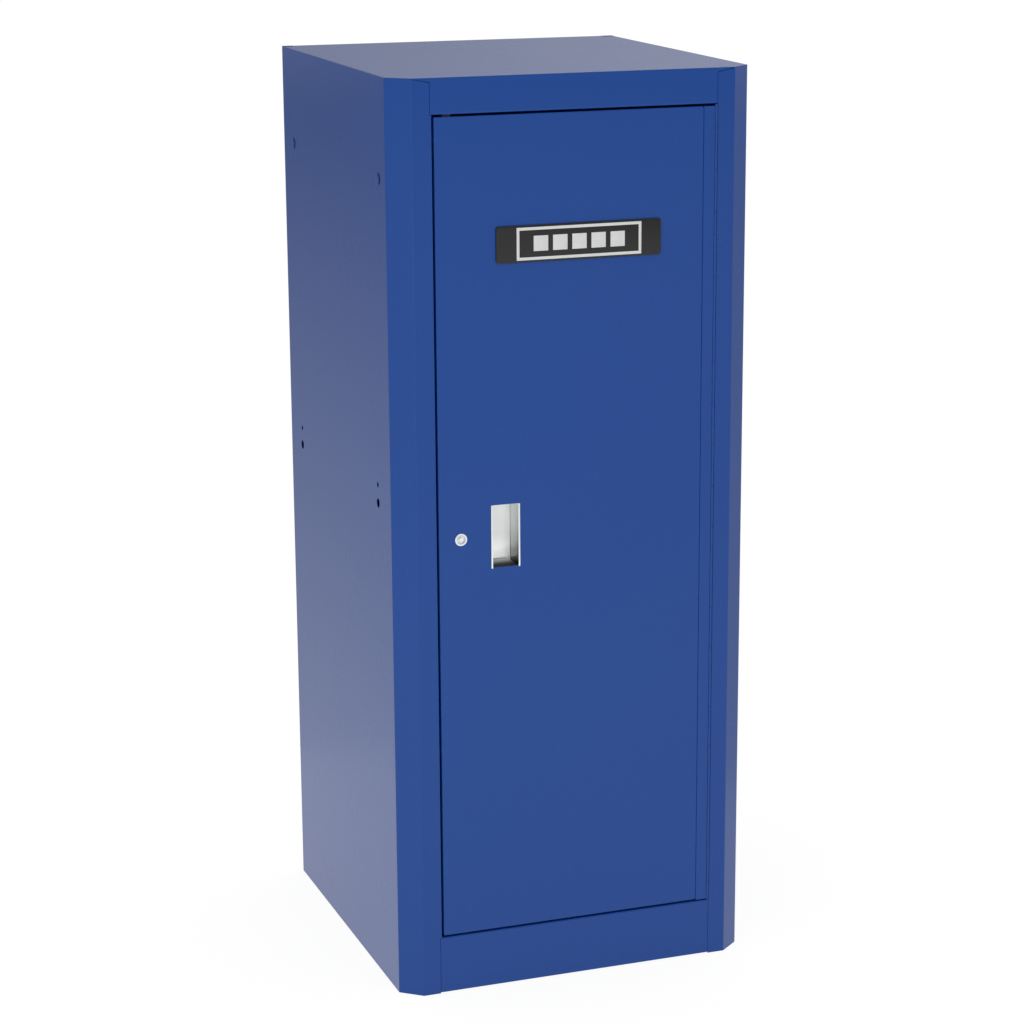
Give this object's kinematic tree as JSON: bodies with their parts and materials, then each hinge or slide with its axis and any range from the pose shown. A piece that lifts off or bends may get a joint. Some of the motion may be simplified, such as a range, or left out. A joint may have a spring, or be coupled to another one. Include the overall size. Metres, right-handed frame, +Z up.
{
  "type": "tool chest side locker",
  "caption": "Tall narrow sheet-metal side locker: chamfered front posts, one hinged door with pull cup, key lock with rods, shelves inside.",
  "frame": {"origin": "on the floor, under the middle of the cabinet", "axes": "+Z up, +X to the right of someone facing the door, +Y to the rear"},
  "size_m": [0.4534, 0.4666, 1.118],
  "materials": {
    "blue_paint": "satin powder coat",
    "zinc_steel": "zinc plated",
    "bright_steel": "brushed",
    "lock_chrome": "polished",
    "key_pin_brass": "plain",
    "plate_black": "gloss",
    "plate_white": "gloss",
    "plug_plastic": "matte",
    "bumper_rubber": "matte",
    "magnet_dark": "plain"
  },
  "bodies": {
    "cabinet": {"back_panel": "blue_paint", "back_rivets": "zinc_steel", "base_pan": "blue_paint", "catch_case": "plug_plastic", "catch_magnet": "magnet_dark", "catch_pole_plates": "zinc_steel", "catch_screws": "zinc_steel", "door_bumpers": "bumper_rubber", "hinge_frame_leaf": "blue_paint", "hinge_pin": "blue_paint", "hole_plugs": "blue_paint", "left_side_panel": "blue_paint", "right_side_panel": "blue_paint", "shelf_clips_lower": "zinc_steel", "shelf_clips_middle": "zinc_steel", "shelf_clips_upper": "zinc_steel", "shelf_lower": "blue_paint", "shelf_middle": "blue_paint", "shelf_standard_left_front": "zinc_steel", "shelf_standard_left_rear": "zinc_steel", "shelf_standard_right_front": "zinc_steel", "shelf_standard_right_rear": "zinc_steel", "shelf_upper": "blue_paint", "top_panel": "blue_paint"},
    "door": {"door_skin": "blue_paint", "door_stiffener": "zinc_steel", "hinge_door_leaf": "blue_paint", "pull_cup": "bright_steel", "pull_cup_clips": "zinc_steel", "name_plate": "plate_black", "plate_border": "plate_white", "plate_bars": "plate_white", "push_nuts": "zinc_steel", "strike_plate": "zinc_steel", "rod_guides": "zinc_steel", "lock_housing": "lock_chrome", "lock_nut": "zinc_steel"},
    "lock_core": {"lock_plug": "lock_chrome", "key_pins": "key_pin_brass", "lock_cam": "zinc_steel", "drive_pins": "zinc_steel", "cam_washer": "zinc_steel", "cam_screw": "zinc_steel"},
    "upper_rod": {"upper_lock_rod": "zinc_steel"},
    "lower_rod": {"lower_lock_rod": "zinc_steel"}
  },
  "joints": [
    {"name": "door_swing", "type": "hinge", "parent": "cabinet", "child": "door", "pos_m": [0.1771, -0.2306, 0.574], "axis": [0, 0, 1], "range_deg": [0, 135]},
    {"name": "upper_rod_slide", "type": "slide", "parent": "door", "child": "upper_rod", "axis": [0, 0, 1], "range_m": [0, 0.01202]},
    {"name": "lock_turn", "type": "hinge", "parent": "door", "child": "lock_core", "pos_m": [-0.14655, -0.2195, 0.57475], "axis": [0, 1, 0], "range_deg": [0, 90]},
    {"name": "lower_rod_slide", "type": "slide", "parent": "door", "child": "lower_rod", "axis": [0, 0, -1], "range_m": [0, 0.01202]}
  ],
  "couplings": [
    {"joint": "lock_turn", "follows": "upper_rod_slide", "rad_per_m": 130.67},
    {"joint": "lower_rod_slide", "follows": "upper_rod_slide", "ratio": 1}
  ]
}
